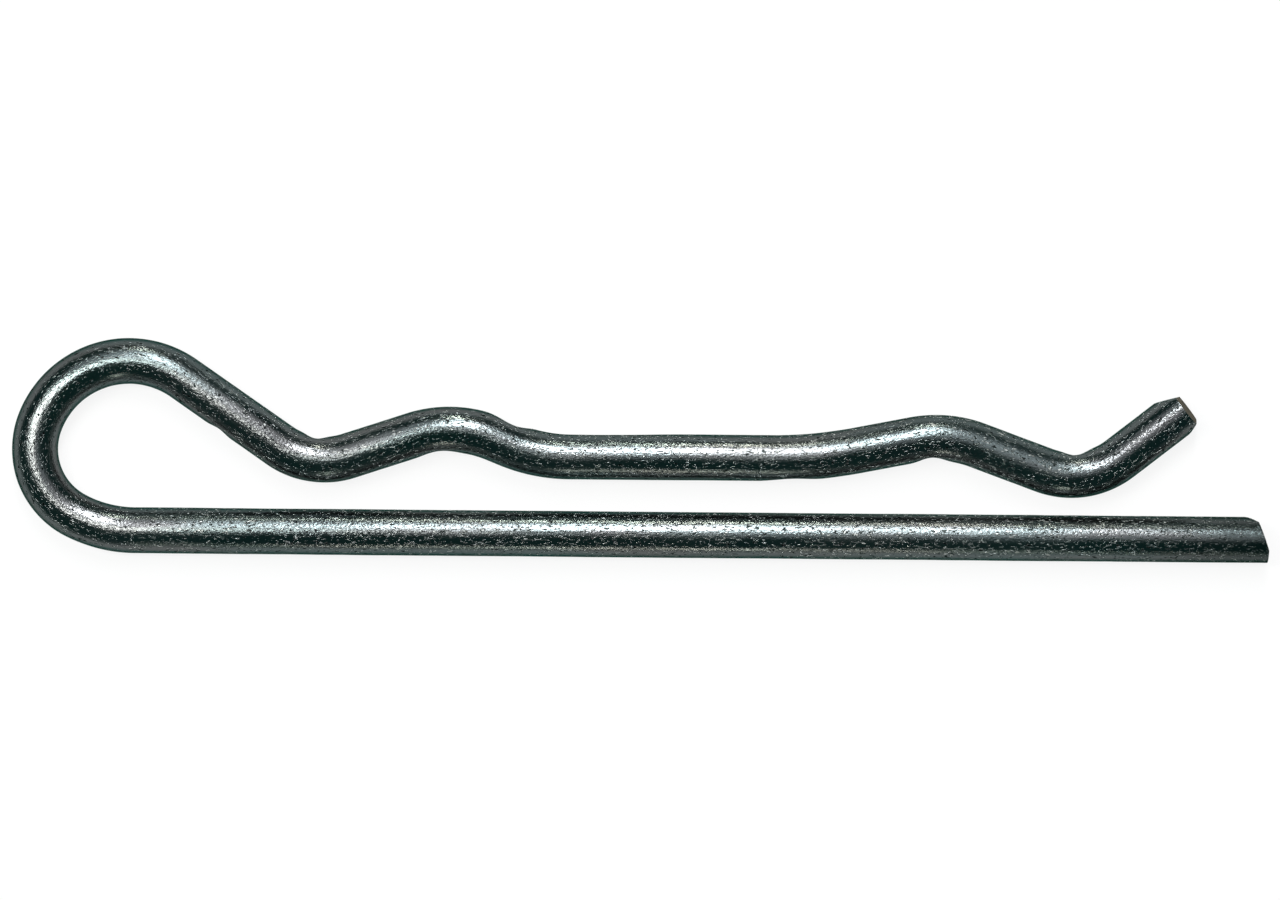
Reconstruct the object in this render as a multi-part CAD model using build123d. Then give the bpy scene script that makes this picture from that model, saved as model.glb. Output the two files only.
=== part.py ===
from build123d import *

import os
from math import asin, atan2, copysign, degrees, hypot, radians, tan

# R-clip: a spring cotter bent from one length of round, zinc-plated spring-steel wire.
#
# The straight leg goes through the cross hole of a shaft or a clevis pin. The formed leg
# springs over the outside of it and is held there by one of its two humps. An open eye
# joins the legs: it is the spring, and the loop that a finger pulls.
#
# Frame: the wire's centreline lies in the plane Z = 0. The straight leg's axis is the X
# axis, with its tip towards +X, and the origin is the leg's root, where the straight
# meets the eye. The formed leg is on the +Y side. Lengths are in mm, angles in degrees.

# The wire
wire_diameter = 4.0

# The straight leg, from its root to the end of its sheared tip
straight_leg_length = 98.5

# The eye: three bends in a row, each with its radius inside the bend and its turn.
# The crown turns whatever the foot and the back leave of a half turn.
foot_inside_radius = 9.4
foot_turn = 27.5
back_inside_radius = 4.5
back_turn = 83.0
crown_inside_radius = 6.3

# The formed leg, from the eye to its free end. A gap is the clear height over the
# straight leg, a run is a straight stretch of wire, a radius is inside the bend.
neck_run = 10.2
first_dip_gap = 2.3
first_dip_inside_radius = 4.8
first_rise_run = 5.9
first_seat_gap = 5.0
first_hump_inside_radius = 8.3
first_fall_run = 1.0
grip_gap = 2.75
grip_start_inside_radius = 12.7
grip_run = 17.4
grip_end_inside_radius = 38.0
second_rise_run = 5.0
second_seat_gap = 4.65
second_hump_inside_radius = 8.3
second_fall_run = 6.1
second_dip_gap = 1.5
second_dip_inside_radius = 4.9
lead_in_slope = 38.0
lead_in_run = 7.6

# The straight leg's tip: a blade sheared it from the formed leg's side, which rolled
# that edge over, cut a slanting face and broke the last of the wire off square
shear_roll_length = 1.1
shear_roll_depth = 0.45
shear_face_slant = 0.85
shear_break_height = 1.1

# The formed leg's end: chamfered, most on its outer side, and cut off a little out of
# square, so that the wire is longest on its underside
outer_chamfer_length = 2.3
outer_chamfer_depth = 1.0
inner_chamfer_length = 1.4
inner_chamfer_depth = 0.62
end_face_tilt = 10.0


def run(path, length):
    """Feed the wire straight on by a length."""
    last = path[-1]
    path.append(Line(last @ 1, (last @ 1) + (last % 1) * length))


def bend(path, inside_radius, turn):
    """Bend the wire round a radius. A positive turn is to the left, seen from +Z."""
    last = path[-1]
    path.append(JernArc(last @ 1, last % 1, inside_radius + wire_diameter / 2, turn))


def ramp_slope(height, straight, both_radii):
    """Slope of the straight between two opposite bends that climb a height together."""
    reach = hypot(straight, both_radii)
    return degrees(atan2(both_radii, straight) + asin((height - both_radii) / reach))


def ramp(path, gap, first_radius, straight, second_radius):
    """Take the wire, level at both ends, to a clear gap over the straight leg."""
    height = gap + wire_diameter - (path[-1] @ 1).Y
    both_radii = first_radius + second_radius + wire_diameter
    turn = copysign(ramp_slope(abs(height), straight, both_radii), height)
    bend(path, first_radius, turn)
    run(path, straight)
    bend(path, second_radius, -turn)


def wire_path():
    """Centreline of the whole clip, from the sheared tip to the formed leg's end."""
    path = [Line((straight_leg_length, 0), (0, 0))]
    bend(path, foot_inside_radius, -foot_turn)
    bend(path, back_inside_radius, -back_turn)
    bend(path, crown_inside_radius, foot_turn + back_turn - 180)
    ramp(path, first_dip_gap, crown_inside_radius, neck_run, first_dip_inside_radius)
    ramp(path, first_seat_gap, first_dip_inside_radius, first_rise_run, first_hump_inside_radius)
    ramp(path, grip_gap, first_hump_inside_radius, first_fall_run, grip_start_inside_radius)
    run(path, grip_run)
    ramp(path, second_seat_gap, grip_end_inside_radius, second_rise_run, second_hump_inside_radius)
    ramp(path, second_dip_gap, second_hump_inside_radius, second_fall_run, second_dip_inside_radius)
    bend(path, second_dip_inside_radius, lead_in_slope)
    run(path, lead_in_run)
    return path


def sheared_edge():
    """Outline of the straight leg's tip, from its outer side, as (along, across).

    The rolled edge is carried on to twice its length, so that it starts outside the wire.
    """
    radius = wire_diameter / 2
    return [
        (-shear_face_slant - 2 * shear_roll_length, radius + shear_roll_depth),
        (-shear_face_slant, radius - shear_roll_depth),
        (0, shear_break_height - radius),
        (0, -wire_diameter),
    ]


def chamfered_edge():
    """Outline of the formed leg's end, from its outer side, as (along, across).

    Each chamfer is carried on to twice its length, so that it starts outside the wire.
    """
    radius = wire_diameter / 2
    return [
        (-2 * outer_chamfer_length, radius + outer_chamfer_depth),
        (0, radius - outer_chamfer_depth),
        (0, inner_chamfer_depth - radius),
        (-2 * inner_chamfer_length, -radius - inner_chamfer_depth),
    ]


def waste(end, outwards, edge):
    """What a cut takes off an end: all that lies past its edge, a wire's width all round."""
    corners = [(wire_diameter, -wire_diameter), (wire_diameter, wire_diameter)]
    outline = make_face(Polyline(edge + corners, close=True))
    plane = Plane(origin=end, x_dir=outwards, z_dir=(0, 0, 1))
    return extrude(plane * outline, amount=wire_diameter, both=True)


def leaning_waste(end, outwards):
    """What the cut out of square takes off: a block hinged on the end's lowest point."""
    underside = end - Vector(0, 0, wire_diameter / 2)
    lean = Vector(0, 0, tan(radians(end_face_tilt)))
    block = Rectangle(2 * wire_diameter, 3 * wire_diameter)
    return extrude(Plane(origin=underside, z_dir=outwards + lean) * block, amount=wire_diameter)


def r_clip():
    """The clip as one solid: the bent wire with both of its ends cut."""
    path = wire_path()
    tip, free_end = path[0], path[-1]
    section = Plane(origin=tip @ 0, z_dir=tip % 0) * Circle(wire_diameter / 2)
    wire = sweep(section, path=Wire(path))
    wire -= waste(tip @ 0, -(tip % 0), sheared_edge())
    wire -= waste(free_end @ 1, free_end % 1, chamfered_edge())
    wire -= leaning_waste(free_end @ 1, free_end % 1)
    print(f"wire {sum(piece.length for piece in path):.1f} mm long, {wire.volume:.0f} mm3")
    return wire


os.makedirs("parts", exist_ok=True)
export_step(r_clip(), "parts/r_clip.step")
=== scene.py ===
# %% [markdown]
# # R-clip
#
# An R-clip is a spring cotter: one length of round spring-steel wire, bent in a plane and
# then zinc plated. Its straight leg goes through the cross hole of a shaft, and its formed
# leg springs over the outside. There is one piece, so this lesson spends its effort on how
# the wire was made: drawn, bent round tools, sheared at both ends and plated.

# %% The frame and the tools
import math

import bmesh
import bpy
from mathutils import Matrix, Vector, noise
from mathutils.bvhtree import BVHTree


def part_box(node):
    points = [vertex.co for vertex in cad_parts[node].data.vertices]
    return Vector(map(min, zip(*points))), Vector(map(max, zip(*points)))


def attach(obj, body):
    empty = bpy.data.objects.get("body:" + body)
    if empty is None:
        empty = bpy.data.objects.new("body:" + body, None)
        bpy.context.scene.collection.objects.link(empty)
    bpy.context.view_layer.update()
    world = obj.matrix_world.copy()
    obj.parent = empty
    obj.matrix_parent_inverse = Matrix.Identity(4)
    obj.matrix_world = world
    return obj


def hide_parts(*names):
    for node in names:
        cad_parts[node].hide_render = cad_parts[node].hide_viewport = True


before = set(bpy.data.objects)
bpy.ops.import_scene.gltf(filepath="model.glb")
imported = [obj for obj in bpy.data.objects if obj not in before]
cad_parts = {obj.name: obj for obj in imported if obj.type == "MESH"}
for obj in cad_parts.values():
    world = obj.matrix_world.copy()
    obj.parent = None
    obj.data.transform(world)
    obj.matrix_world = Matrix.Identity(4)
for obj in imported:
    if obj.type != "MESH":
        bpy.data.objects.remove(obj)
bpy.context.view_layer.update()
lowest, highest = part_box("r_clip")
MM = 0.001
print("the clip is", [round(side / MM, 2) for side in highest - lowest], "mm")

# %% [markdown]
# ## The wire and its bends
#
# A wire former feeds straight wire and turns it round a tool of a known radius, so the clip
# is written down the same way: how far it is fed and how it is bent. The wire's diameter
# and the straight leg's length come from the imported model. The formed leg is set by its
# clear heights over the straight leg, and the slope between two heights follows from the
# radii of the bends and the straight between them.

# %% Sizes, in metres and degrees
wire_radius = (highest.z - lowest.z) / 2
straight_leg = highest.x
foot_radius, foot_turn = 9.4 * MM, 27.5
back_radius, back_turn = 4.5 * MM, 83.0
crown_radius = 6.3 * MM
dip_radius, hump_radius = 4.8 * MM, 8.3 * MM
lead_in_slope, lead_in_run = 38.0, 7.6 * MM
print("wire diameter", round(2 * wire_radius / MM, 2), "mm")

# %% [markdown]
# ## A ring of points becomes the wire
#
# The wire could be a curve with a round bevel, but a curve has no memory of where its
# surface was before it was bent, and the plating's fine lines have to follow the wire round
# every bend. So a ring of edges is extruded step by step, as wire leaves a die. Each point
# keeps a second position, called drawn: where it lay when the wire was still straight.

# %% Start the ring at the straight leg's tip
AROUND = 72
STEP = 0.25 * MM
mesh = bmesh.new()
drawn = mesh.verts.layers.float_vector.new("drawn")
facing_back = Matrix(((0, 0, -1), (-1, 0, 0), (0, 1, 0))).to_4x4()
start = Matrix.Translation((straight_leg, 0, 0)) @ facing_back
heading = mesh.verts.layers.float.new("heading")
bmesh.ops.create_circle(mesh, segments=AROUND, radius=wire_radius, matrix=start)
for vert in mesh.verts:
    vert[drawn] = (0, -vert.co.y, vert.co.z)
    vert[heading] = math.pi
former = {"ring": list(mesh.edges), "at": Vector((straight_leg, 0, 0)), "heading": math.pi, "fed": 0.0}


# %% Extrude one ring and carry it on
def next_ring(move, length, turn=0.0):
    """Extrude the open ring once, carry it on by a matrix and note where it now is."""
    made = bmesh.ops.extrude_edge_only(mesh, edges=former["ring"])["geom"]
    points = [item for item in made if isinstance(item, bmesh.types.BMVert)]
    fresh = set(points)
    edges = [item for item in made if isinstance(item, bmesh.types.BMEdge)]
    former["ring"] = [edge for edge in edges if fresh.issuperset(edge.verts)]
    bmesh.ops.transform(mesh, matrix=move, verts=points)
    former["fed"] += length
    former["heading"] += turn
    for vert in points:
        vert[drawn] = (former["fed"], vert[drawn].y, vert[drawn].z)
        vert[heading] = former["heading"]
    return fresh


def ahead():
    """The direction in which the wire is being fed."""
    return Vector((math.cos(former["heading"]), math.sin(former["heading"]), 0))


def feed(length):
    """Feed the wire straight on: one long extrusion, cut into rings."""
    move = ahead() * length
    fresh = next_ring(Matrix.Translation(move), length)
    ring = set(former["ring"])
    along = [edge for vert in fresh for edge in vert.link_edges if edge not in ring]
    cuts = max(1, round(length / STEP)) - 1
    if cuts:
        bmesh.ops.subdivide_edges(mesh, edges=along, cuts=cuts, use_grid_fill=True)
    former["at"] += move


def bend(inside_radius, turn):
    """Bend the wire round a tool. A positive turn is to the left, seen from above."""
    radius = inside_radius + wire_radius
    left = Matrix.Rotation(math.radians(90), 3, "Z") @ ahead()
    centre = former["at"] + left * math.copysign(radius, turn)
    length = radius * math.radians(abs(turn))
    steps = max(1, round(length / STEP))
    swing = Matrix.Rotation(math.radians(turn) / steps, 4, "Z")
    move = Matrix.Translation(centre) @ swing @ Matrix.Translation(-centre)
    for _ in range(steps):
        next_ring(move, length / steps, math.radians(turn) / steps)
        former["at"] = move @ former["at"]


def ramp(gap, first_radius, straight, second_radius):
    """Take the wire, level at both ends, to a clear gap over the straight leg."""
    height = gap + 2 * wire_radius - former["at"].y
    both = first_radius + second_radius + 2 * wire_radius
    reach = math.hypot(straight, both)
    slope = math.degrees(math.atan2(both, straight) + math.asin((abs(height) - both) / reach))
    turn = math.copysign(slope, height)
    bend(first_radius, turn)
    feed(straight)
    bend(second_radius, -turn)
    return former["fed"]


# %% Bend the clip, from the tip round the eye to the lead-in
feed(straight_leg)
bend(foot_radius, -foot_turn)
bend(back_radius, -back_turn)
bend(crown_radius, foot_turn + back_turn - 180)
first_dip = ramp(2.3 * MM, crown_radius, 10.2 * MM, dip_radius)
first_hump = ramp(5.0 * MM, dip_radius, 5.9 * MM, hump_radius)
grip_start = ramp(2.75 * MM, hump_radius, 1.0 * MM, 12.7 * MM)
feed(17.4 * MM)
second_hump = ramp(4.65 * MM, 38.0 * MM, 5.0 * MM, hump_radius)
second_dip = ramp(1.5 * MM, hump_radius, 6.1 * MM, 4.9 * MM)
bend(4.9 * MM, lead_in_slope)
feed(lead_in_run)
print("wire fed:", round(former["fed"] / MM, 1), "mm, points:", len(mesh.verts))

# %% [markdown]
# ## Where the tools pressed
#
# Hard wire doesn't keep a perfect round where it is bent: the inside of each bend is
# pressed a little flat by the tool, and the landing and the grip run are struck flat as
# well. The flats could be booleans, but a struck flat has no sharp rim. So the points that
# stand above a shallow ceiling are moved down to it, and the ceiling eases in and out.

# %% Press the flats
LEFT, RIGHT = 1, -1


def press(middle, reach, side, depth):
    """Press one side of the wire flat, deepest at the middle and easing out over the reach."""
    for vert in mesh.verts:
        offset = abs(vert[drawn].x - middle) / reach
        if offset < 1:
            ceiling = wire_radius - depth * math.cos(offset * math.pi / 2) ** 2
            above = side * vert[drawn].y - ceiling
            if above > 0:
                sideways = Vector((-math.sin(vert[heading]), math.cos(vert[heading]), 0))
                vert.co -= sideways * side * above


press(first_dip - 9.2 * MM, 1.4 * MM, RIGHT, 0.18 * MM)
press(first_dip - 1.0 * MM, 2.0 * MM, LEFT, 0.22 * MM)
press(first_hump - 1.0 * MM, 3.0 * MM, RIGHT, 0.16 * MM)
press(first_hump + 5.0 * MM, 2.6 * MM, LEFT, 0.28 * MM)
press(first_hump + 13.0 * MM, 9.0 * MM, LEFT, 0.11 * MM)
press(second_hump - 13.0 * MM, 3.0 * MM, RIGHT, 0.18 * MM)
press(second_hump - 0.5 * MM, 2.4 * MM, RIGHT, 0.28 * MM)
press(second_dip + 0.6 * MM, 2.4 * MM, LEFT, 0.28 * MM)

# %% [markdown]
# ## An uneven skin
#
# Drawn wire with a zinc coat is never a mirror. Swells a few millimetres long break the
# edge of every reflection, and they are real shape, so they are moved into the points. They
# are read at the drawn place, stretched along the wire, and so run with it round the bends.

# %% Raise the swells
def swell(place, length, width, height, seed):
    """Height of a soft unevenness at a drawn place, of a given size along and across."""
    spot = Vector((place.x / length, place.y / width, place.z / width)) + Vector((seed, seed, seed))
    return noise.noise(spot) * height


for vert in mesh.verts:
    place = vert[drawn]
    lift = swell(place, 9 * MM, 3 * MM, 0.022 * MM, 3)
    lift += swell(place, 2.2 * MM, 1.1 * MM, 0.008 * MM, 7)
    lift += swell(place, 0.9 * MM, 0.5 * MM, 0.003 * MM, 11)
    sideways = Vector((-math.sin(vert[heading]), math.cos(vert[heading]), 0))
    outwards = (sideways * place.y + Vector((0, 0, place.z))).normalized()
    vert.co += outwards * lift

# %% [markdown]
# ## The sheared tip and the chamfered end
#
# A blade that shears wire first rolls its near edge over, then cuts a slanting face and at
# last breaks off the rest square. The formed leg's end is chamfered on both sides, and its
# face leans, so that the underside is the longest. The roll-over and the chamfers are
# ceilings like the flats, and the faces are cut with planes and filled, which keeps their
# corners crisp. A fine bevel then gives the rims the radius that plating leaves on an edge.

# %% Shape both ends, then cut them
def roll_over(from_end, side, flat_length, roll_length, depth, curve):
    """Draw one side of the wire down towards an end. A curve of 1 is a straight chamfer."""
    for vert in mesh.verts:
        inward = from_end(vert[drawn].x)
        into = (flat_length + roll_length - inward) / roll_length
        if into > 0:
            ceiling = wire_radius - depth * min(into, 1) ** curve * max(into, 1)
            above = side * vert[drawn].y - ceiling
            if above > 0:
                sideways = Vector((-math.sin(vert[heading]), math.cos(vert[heading]), 0))
                vert.co -= sideways * side * above


def cut(point, normal, near):
    """Cut away what lies past a plane, near one end only, and close the cut with a face."""
    faces = [face for face in mesh.faces if (face.calc_center_median() - near).length < 8 * MM]
    edges = {edge for face in faces for edge in face.edges}
    verts = {vert for edge in edges for vert in edge.verts}
    geometry = list(verts) + list(edges) + faces
    done = bmesh.ops.bisect_plane(
        mesh, geom=geometry, dist=1e-7, plane_co=point, plane_no=normal, clear_outer=True)
    rim = [item for item in done["geom_cut"] if isinstance(item, bmesh.types.BMEdge)]
    return bmesh.ops.edgenet_fill(mesh, edges=rim)["faces"]


end_fed = former["fed"]
shear_slant, shear_roll, shear_depth, shear_break = 0.85 * MM, 1.1 * MM, 0.45 * MM, 1.1 * MM
outer_length, outer_depth = 2.3 * MM, 1.0 * MM
inner_length, inner_depth = 1.4 * MM, 0.62 * MM
end_face_tilt = 10.0
roll_over(lambda fed: fed, RIGHT, shear_slant, shear_roll, shear_depth, 1.4)
roll_over(lambda fed: end_fed - fed, LEFT, 0, outer_length, outer_depth, 1.1)
roll_over(lambda fed: end_fed - fed, RIGHT, 0, inner_length, inner_depth, 1.0)

open_rings = [edge for edge in mesh.edges if edge.is_boundary]
bmesh.ops.edgenet_fill(mesh, edges=[e for e in open_rings if e.verts[0][drawn].x < straight_leg / 2])
bmesh.ops.edgenet_fill(mesh, edges=[e for e in open_rings if e.verts[0][drawn].x > straight_leg / 2])
tip = Vector((straight_leg, 0, 0))
along, end = ahead(), former["at"].copy()
shear_face = Vector((2 * wire_radius - shear_depth - shear_break, shear_slant, 0)).normalized()
cut(tip - Vector((0, wire_radius - shear_break, 0)), shear_face, tip)
end_tilt = (along + Vector((0, 0, math.tan(math.radians(end_face_tilt))))).normalized()
cut(end - Vector((0, 0, wire_radius)), end_tilt, end)
CAP_SIDES = 8
caps = [face for face in mesh.faces if len(face.verts) > CAP_SIDES]
print("cut faces:", [len(face.verts) for face in caps])

# %% Take the sharpness off the rims
rims = {edge for cap in caps for edge in cap.edges}
bmesh.ops.remove_doubles(mesh, verts=list({v for e in rims for v in e.verts}), dist=0.04 * MM)
rims = [edge for edge in mesh.edges if any(len(face.verts) > CAP_SIDES for face in edge.link_faces)]
bmesh.ops.bevel(
    mesh, geom=rims, offset=0.07 * MM, offset_type="OFFSET", segments=2, profile=0.5,
    affect="EDGES", clamp_overlap=True, material=-1)
bmesh.ops.recalc_face_normals(mesh, faces=mesh.faces)
for face in mesh.faces:
    face.smooth = len(face.verts) <= CAP_SIDES
    face.material_index = 0 if face.smooth else 1
print("loose edges:", sum(not edge.is_manifold for edge in mesh.edges))

# %% [markdown]
# ## The finished piece
#
# The points go into one object at the origin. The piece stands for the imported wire, so its
# surface is measured against that wire: it should leave it only where a tool pressed it.

# %% Make the object and measure it
wire_mesh = bpy.data.meshes.new("r_clip_wire")
mesh.to_mesh(wire_mesh)
mesh.free()
clip = bpy.data.objects.new("r_clip_wire", wire_mesh)
bpy.context.scene.collection.objects.link(clip)
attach(clip, "root")
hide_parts("r_clip")
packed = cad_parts["r_clip"].data
surface = BVHTree.FromPolygons(
    [vert.co for vert in packed.vertices], [tuple(face.vertices) for face in packed.polygons])
gaps = [surface.find_nearest(vert.co)[3] for vert in list(wire_mesh.vertices)[::7]]
print("faces:", len(wire_mesh.polygons), "farthest from the packed wire:", round(max(gaps) / MM, 2), "mm")

# %% [markdown]
# ## Colours and nodes
#
# Colours are written as they look on a screen, in hex, and one function turns them into the
# linear values that a shader adds up. One more function adds any node with its settings.

# %% Two helpers
def linear(code):
    """A screen colour such as "#808080" as the linear colour that a shader takes."""
    parts = [int(code[i:i + 2], 16) / 255 for i in (1, 3, 5)]
    return (*[p / 12.92 if p <= 0.04045 else ((p + 0.055) / 1.055) ** 2.4 for p in parts], 1)


def add(tree, kind, settings=None, **links):
    """Add a node, set its properties, and set or link its inputs by name."""
    node = tree.nodes.new(kind)
    for name, value in (settings or {}).items():
        setattr(node, name, value)
    for name, value in links.items():
        socket = node.inputs[int(name[1:]) if name[0] == "i" and name[1:].isdigit() else name.replace("_", " ")]
        if isinstance(value, bpy.types.NodeSocket):
            tree.links.new(value, socket)
        else:
            socket.default_value = value
    return node


# %% [markdown]
# ## Zinc plate on drawn steel wire
#
# Bright zinc with a blue passivate is grey with a little teal in it, and darker than chrome,
# because the fine crystals of the coat scatter some of the light. Five things show on it:
# long hairlines from the drawing die, a fine grain, small hard nodules where the coat grew
# round specks in the bath, dark pits, and a cloudy change of gloss. The nodules are painted
# pale as well: painted glints that stand in for the light they catch. They are fewer on the eye.
# Each is a pattern read at the drawn place, squeezed along the wire, so that it turns round the
# bends with the metal. The first 15 mm from the tip are painted darker, a painted shade where the stripe fades out.

# %% The plated wire
plated = bpy.data.materials.new("zinc_plated_steel_wire")
plated.use_nodes = True
tree = plated.node_tree
tree.nodes.clear()
place = add(tree, "ShaderNodeAttribute", {"attribute_name": "drawn"}).outputs["Vector"]


def stretched(along_scale, across_scale):
    """The drawn place with one pattern length along the wire and one across it, in metres."""
    scale = (1 / along_scale, 1 / across_scale, 1 / across_scale)
    return add(tree, "ShaderNodeVectorMath", {"operation": "MULTIPLY"}, i0=place, i1=scale).outputs["Vector"]


def cloud(along_scale, across_scale, detail=2.0, rough=0.5):
    """A soft pattern from 0 to 1 with marks of a given length and width, in metres."""
    where = stretched(along_scale, across_scale)
    return add(tree, "ShaderNodeTexNoise", Vector=where, Scale=1.0, Detail=detail, Roughness=rough).outputs["Fac"]


def step(value, low, high):
    """Bring a pattern up from 0 to 1 between two of its values."""
    return add(tree, "ShaderNodeMapRange", {"interpolation_type": "SMOOTHSTEP"},
               Value=value, From_Min=low, From_Max=high).outputs["Result"]


def maths(operation, first, second):
    """Combine two patterns or numbers."""
    return add(tree, "ShaderNodeMath", {"operation": operation}, i0=first, i1=second).outputs["Value"]


where_rough = step(cloud(11 * MM, 2.6 * MM), 0.40, 0.62)
nodules = step(cloud(0.44 * MM, 0.17 * MM, 1.0), 0.60, 0.69)
fed = add(tree, "ShaderNodeSeparateXYZ", Vector=place).outputs["X"]
middle_of_eye = 118 * MM
from_eye = maths("ABSOLUTE", maths("SUBTRACT", fed, middle_of_eye), 0.0)
away_from_eye = maths("ADD", maths("MULTIPLY", step(from_eye, 8 * MM, 26 * MM), 0.7), 0.3)
where_grown = maths("MULTIPLY", maths("ADD", maths("MULTIPLY", where_rough, 0.6), 0.4), away_from_eye)
dense_nodules = maths("MULTIPLY", nodules, where_grown)
grain = cloud(0.27 * MM, 0.15 * MM, 2.0)
hairlines = cloud(14 * MM, 0.11 * MM, 2.0)
pits = step(cloud(0.45 * MM, 0.22 * MM, 1.0), 0.64, 0.72)
relief = maths("ADD", maths("MULTIPLY", dense_nodules, 1.3), maths("MULTIPLY", grain, 0.34))
relief = maths("ADD", relief, maths("MULTIPLY", hairlines, 0.14))
relief = maths("SUBTRACT", relief, maths("MULTIPLY", pits, 0.6))
bump = add(tree, "ShaderNodeBump", Strength=1.0, Distance=0.055 * MM, Height=relief).outputs["Normal"]
tint = cloud(16 * MM, 1.8 * MM, 2.0)
base = add(tree, "ShaderNodeMix", {"data_type": "RGBA"}, Factor=step(tint, 0.35, 0.65),
           i6=linear("#565f5f"), i7=linear("#5f6161")).outputs[2]
base = add(tree, "ShaderNodeMix", {"data_type": "RGBA"}, Factor=pits, i6=base, i7=linear("#1d2221")).outputs[2]
# Painted glints: the nodules are mixed towards a pale grey that stands in for the highlights they catch, and are
# made a little rougher.
painted_glint_nodules = maths("MULTIPLY", dense_nodules, 0.58)
base = add(tree, "ShaderNodeMix", {"data_type": "RGBA"}, Factor=painted_glint_nodules, i6=base, i7=linear("#b9bcb8")).outputs[2]
# Painted shade: the base is darkened over the first 15 mm from the tip, where the bright stripe fades out.
tip_painted_shade = add(tree, "ShaderNodeMapRange", {"interpolation_type": "SMOOTHSTEP"},
                 Value=fed, From_Min=0.0, From_Max=15 * MM, To_Min=0.6, To_Max=0.0).outputs["Result"]
base = add(tree, "ShaderNodeMix", {"data_type": "RGBA"}, Factor=tip_painted_shade, i6=base, i7=linear("#323a39")).outputs[2]
gloss = maths("ADD", maths("MULTIPLY", where_rough, 0.08), maths("MULTIPLY", grain, 0.10))
gloss = maths("ADD", gloss, maths("MULTIPLY", painted_glint_nodules, 0.15))
gloss = maths("ADD", gloss, 0.10)
shader = add(tree, "ShaderNodeBsdfPrincipled", Base_Color=base, Metallic=1.0, Roughness=gloss,
             Specular_Tint=linear("#7c908a"), Normal=bump)
add(tree, "ShaderNodeOutputMaterial", Surface=shader.outputs["BSDF"])
wire_mesh.materials.append(plated)

# %% [markdown]
# ## The two cut faces
#
# The wire was plated after it was cut, but a blade leaves a torn, stained face that takes
# the zinc badly. It is browner and duller than the drawn skin, and it has no hairlines. It
# is almost edge-on from above, so its tint at a low angle decides how it looks there.

# %% The sheared steel
sheared = bpy.data.materials.new("sheared_steel_face")
sheared.use_nodes = True
tree = sheared.node_tree
tree.nodes.clear()
place = add(tree, "ShaderNodeTexCoord").outputs["Object"]
torn = cloud(0.5 * MM, 0.5 * MM, 3.0)
stain = add(tree, "ShaderNodeMix", {"data_type": "RGBA"}, Factor=step(torn, 0.35, 0.65),
            i6=linear("#57544e"), i7=linear("#6a675f")).outputs[2]
rough_face = add(tree, "ShaderNodeBump", Strength=1.0, Distance=0.05 * MM, Height=torn).outputs["Normal"]
shader = add(tree, "ShaderNodeBsdfPrincipled", Base_Color=stain, Metallic=1.0, Roughness=0.55,
             Specular_Tint=linear("#a19e96"), Normal=rough_face)
add(tree, "ShaderNodeOutputMaterial", Surface=shader.outputs["BSDF"])
wire_mesh.materials.append(sheared)

# %% [markdown]
# ## Floor, light and camera
#
# Metal shows what is round it. Here that is a white floor along the wire's lower rims, a dark
# teal room with a pale horizon, a soft glow overhead, and four soft boxes. The key box gives
# the wire its bright stripe, the side box lights the eye and the slopes that face the other
# way, and two narrow strips, far off in front and behind, draw the thin lines by the rims.

# %% The floor
floor_mesh = bpy.data.meshes.new("floor")
floor_shape = bmesh.new()
bmesh.ops.create_grid(floor_shape, x_segments=1, y_segments=1, size=3.0)
bmesh.ops.translate(floor_shape, vec=(0, 0, lowest.z - 0.02 * MM), verts=floor_shape.verts)
floor_shape.to_mesh(floor_mesh)
floor_shape.free()
floor = bpy.data.objects.new("floor", floor_mesh)
bpy.context.scene.collection.objects.link(floor)
paper = bpy.data.materials.new("white_paper")
paper.use_nodes = True
tree = paper.node_tree
tree.nodes.clear()
path = add(tree, "ShaderNodeLightPath")
seen = maths("MAXIMUM", path.outputs["Is Camera Ray"], path.outputs["Is Glossy Ray"])
seen = maths("MAXIMUM", seen, path.outputs["Is Transmission Ray"])
share = maths("MULTIPLY", seen, 0.88)
matt = add(tree, "ShaderNodeBsdfDiffuse", Color=(0.95, 0.95, 0.95, 1)).outputs["BSDF"]
glow = add(tree, "ShaderNodeEmission", Color=(1, 1, 1, 1), Strength=1.0).outputs["Emission"]
both = add(tree, "ShaderNodeMixShader", Fac=share, i1=matt, i2=glow).outputs["Shader"]
add(tree, "ShaderNodeOutputMaterial", Surface=both)
floor_mesh.materials.append(paper)

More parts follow.
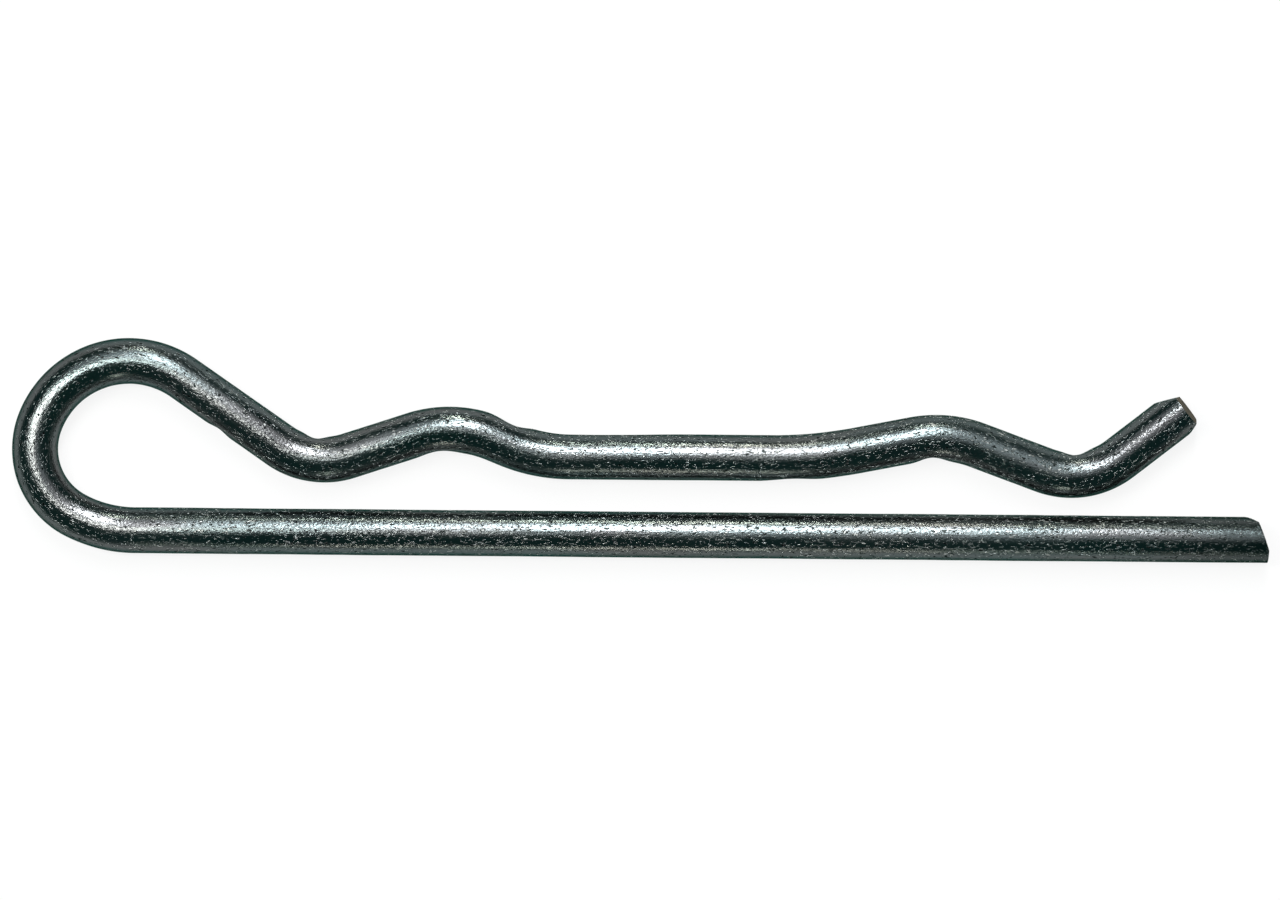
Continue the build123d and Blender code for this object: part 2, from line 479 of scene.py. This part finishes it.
# %% The room
world = bpy.data.worlds.new("room")
bpy.context.scene.world = world
world.use_nodes = True
tree = world.node_tree
tree.nodes.clear()
direction = add(tree, "ShaderNodeTexCoord").outputs["Generated"]
height = add(tree, "ShaderNodeSeparateXYZ", Vector=direction).outputs["Z"]
band = add(tree, "ShaderNodeMapRange", {"interpolation_type": "SMOOTHSTEP"},
           Value=height, From_Min=0.0, From_Max=0.28, To_Min=1.0, To_Max=0.0).outputs["Result"]
towards = add(tree, "ShaderNodeVectorMath", {"operation": "DOT_PRODUCT"},
              i0=direction, i1=(0.0, 0.43, 0.90)).outputs["Value"]
facing = add(tree, "ShaderNodeMapRange", {"interpolation_type": "SMOOTHSTEP"},
             Value=towards, From_Min=0.77, From_Max=1.0).outputs["Result"]
wall = add(tree, "ShaderNodeMix", {"data_type": "RGBA"}, Factor=facing,
           i6=(0.03, 0.095, 0.09, 1), i7=(1.25, 1.25, 1.3, 1)).outputs[2]
room = add(tree, "ShaderNodeMix", {"data_type": "RGBA"}, Factor=band, i6=wall, i7=(0.45, 0.5, 0.48, 1)).outputs[2]
back = add(tree, "ShaderNodeBackground", Color=room, Strength=1.0).outputs["Background"]
add(tree, "ShaderNodeOutputWorld", Surface=back)


# %% The soft boxes
def soft_box(name, place, aim, width, depth, radiance, colour, roll=0):
    """A rectangular lamp turned to a point. Its power follows from how bright its face is."""
    lamp = bpy.data.lights.new(name, "AREA")
    lamp.shape = "RECTANGLE"
    lamp.size, lamp.size_y = width, depth
    lamp.energy = radiance * math.pi * width * depth
    lamp.color = colour[:3]
    holder = bpy.data.objects.new(name, lamp)
    holder.location = place
    facing_aim = (Vector(aim) - Vector(place)).to_track_quat("-Z", "Y").to_matrix()
    holder.rotation_euler = (facing_aim @ Matrix.Rotation(math.radians(roll), 3, "Z")).to_euler()
    bpy.context.scene.collection.objects.link(holder)


centre = (lowest + highest) / 2
soft_box("key_box", (centre.x + 0.006, centre.y + 0.33, 0.50), centre, 0.09, 0.32, 22.0, (0.98, 0.97, 1.0), -12)
soft_box("side_box", (centre.x - 0.20, centre.y + 0.065, 0.50), centre, 0.11, 0.26, 18.0, (1.0, 0.99, 0.95))
soft_box("far_strip", (centre.x + 0.01, centre.y + 1.05, 0.50), centre, 0.12, 0.05, 60.0, (1.0, 0.97, 0.85))
soft_box("near_strip", (centre.x + 0.01, centre.y - 1.80, 0.50), centre, 0.16, 0.06, 30.0, (1.0, 0.98, 0.85))

# %% The camera
lens = bpy.data.cameras.new("camera")
lens.sensor_width = 36
frame_width = 1280 * 0.0870 * MM
camera_height = 0.5
lens.lens = lens.sensor_width * camera_height / frame_width
lens.clip_start = 0.01
camera = bpy.data.objects.new("camera", lens)
camera.location = (centre.x, centre.y, camera_height)
camera.rotation_euler = (0, 0, math.radians(0.4945))
bpy.context.scene.collection.objects.link(camera)
bpy.context.scene.camera = camera
bpy.context.scene.view_settings.view_transform = "Standard"
